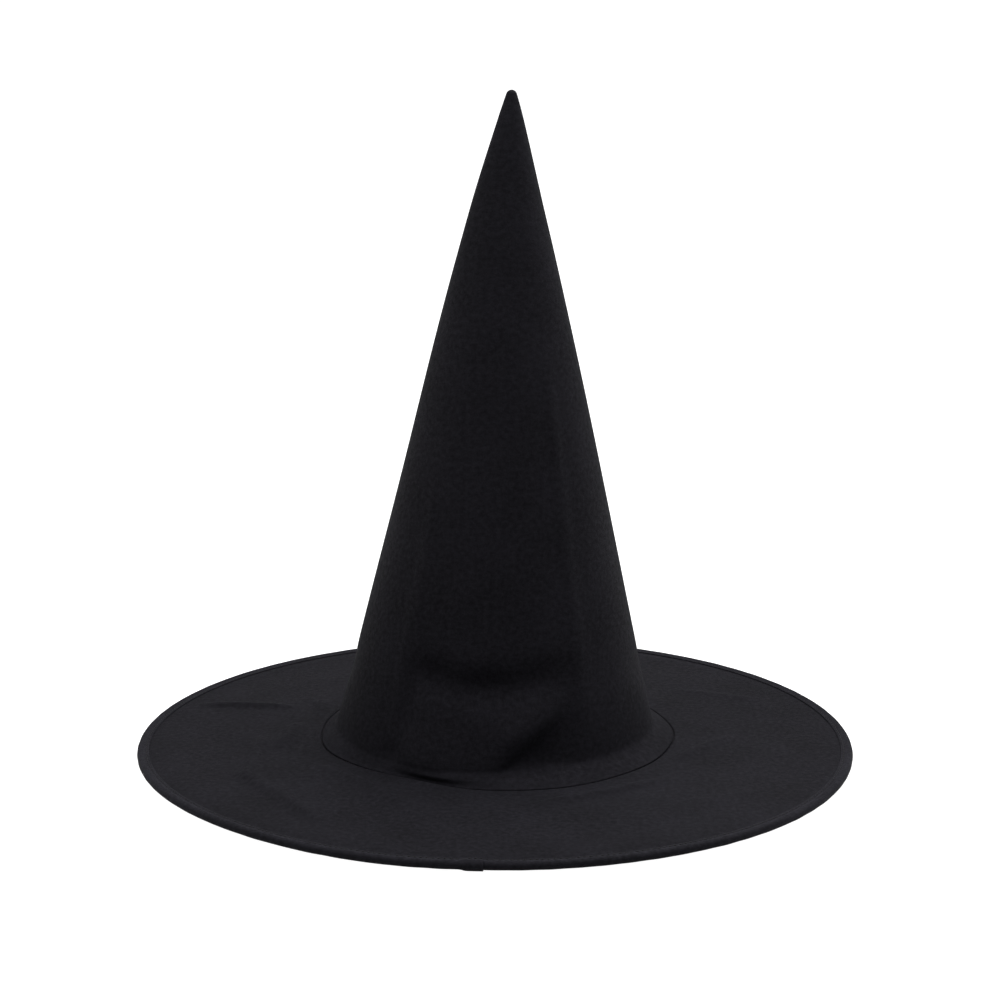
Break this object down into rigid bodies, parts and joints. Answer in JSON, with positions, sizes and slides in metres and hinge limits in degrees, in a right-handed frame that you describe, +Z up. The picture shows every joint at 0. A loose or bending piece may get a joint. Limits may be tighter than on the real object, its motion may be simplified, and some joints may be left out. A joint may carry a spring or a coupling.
{
  "type": "witch hat",
  "caption": "Cloth witch hat: tall pointed crown on a wide round brim stiffened by a wire in its rolled rim.",
  "frame": {"origin": "on the surface that the hat stands on, under the middle of the brim", "axes": "+Z up through the crown, +X to the wearer's left seen from the front, the side the tip leans to, +Y to the back of the hat"},
  "size_m": [0.38, 0.38, 0.35],
  "materials": {
    "black_cloth": "matt, fine weave",
    "binding_cloth": "matt, close weave",
    "interlining_felt": "pressed non-woven felt",
    "sweatband_ribbon": "ribbed ribbon, slight sheen",
    "sewing_thread": "twisted polyester thread",
    "label_satin": "blank satin",
    "wire_steel": "drawn spring steel",
    "crimp_metal": "plain crimped tube"
  },
  "bodies": {
    "hat": {"crown_cloth": "black_cloth", "lower_crown_interlining": "interlining_felt", "back_seam_tape": "binding_cloth", "brim_top_cloth": "black_cloth", "brim_interlining": "interlining_felt", "brim_under_cloth": "black_cloth", "rim_binding": "binding_cloth", "rim_wire": "wire_steel", "wire_joiner": "crimp_metal", "sweatband": "sweatband_ribbon", "base_seam_thread": "sewing_thread", "rim_seam_thread": "sewing_thread", "sweatband_thread": "sewing_thread"},
    "crown_tip": {"tip_interlining": "interlining_felt"},
    "label": {"care_label": "label_satin"}
  },
  "joints": [
    {"name": "crown_tip_bend", "type": "hinge", "parent": "hat", "child": "crown_tip", "pos_m": [0.00526, 0, 0.245], "axis": [0, 1, 0], "range_deg": [-60, 60], "stiffness_Nm_per_rad": 0.02, "deforming": ["crown_cloth", "back_seam_tape"]},
    {"name": "label_flap", "type": "hinge", "parent": "hat", "child": "label", "pos_m": [0, 0.0767, 0.03], "axis": [1, 0, 0], "range_deg": [-150, 12]}
  ]
}
